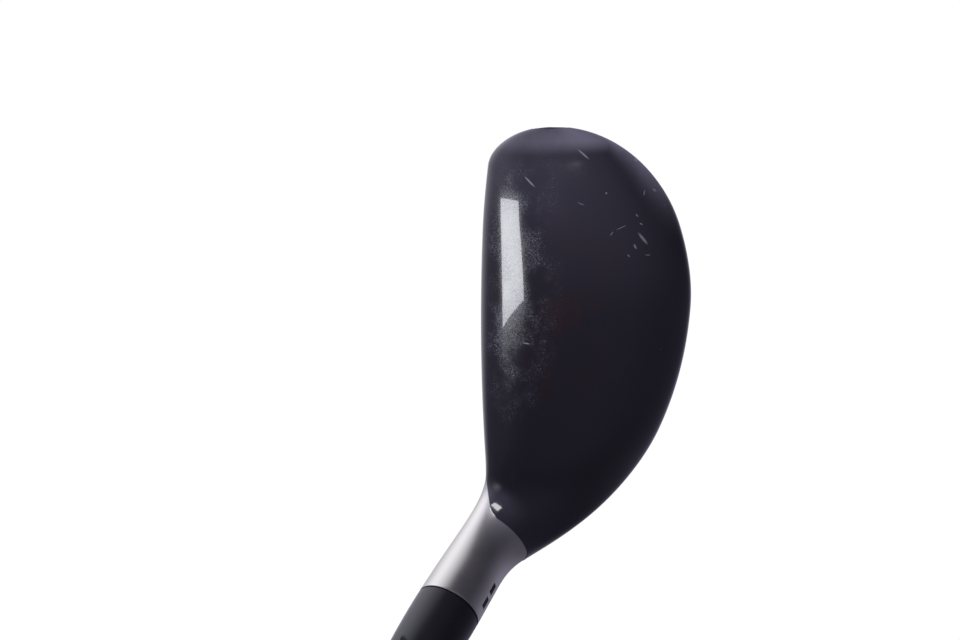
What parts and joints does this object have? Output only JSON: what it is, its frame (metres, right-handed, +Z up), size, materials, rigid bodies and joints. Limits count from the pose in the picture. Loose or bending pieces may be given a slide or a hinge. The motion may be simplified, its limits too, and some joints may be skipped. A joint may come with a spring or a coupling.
{
  "type": "hybrid golf club",
  "caption": "Right-handed hybrid golf club: hollow steel head with a gloss black crown, short satin hosel, ferrule, tapered shaft and rubber grip.",
  "frame": {"origin": "middle of the flat ground on the sole, on the ground under the head", "axes": "+Z up, +X from toe to heel with the shaft leaning to it, -Y toward the target, so the face looks to -Y and the rear of the head is at +Y"},
  "size_m": [0.5834, 0.0521, 0.8741],
  "materials": {
    "head_body": "satin cast stainless steel",
    "crown_shell": "gloss black paint",
    "face_plate": "fine blasted steel with scored lines",
    "sole_badge": "brushed",
    "rear_weight": "dark satin tungsten alloy",
    "port_screw": "satin",
    "hosel_plug": "plain",
    "ferrule": "polished black",
    "shaft": "clear-coated black graphite",
    "tip_weight": "turned",
    "grip_tape": "double-sided tape",
    "grip": "patterned rubber"
  },
  "bodies": {
    "root": {"head_body": "head_body", "crown_shell": "crown_shell", "face_plate": "face_plate", "sole_badge": "sole_badge", "rear_weight": "rear_weight", "port_screw": "port_screw", "hosel_plug": "hosel_plug", "ferrule": "ferrule", "shaft": "shaft", "tip_weight": "tip_weight", "grip_tape": "grip_tape", "grip": "grip"}
  },
  "joints": []
}
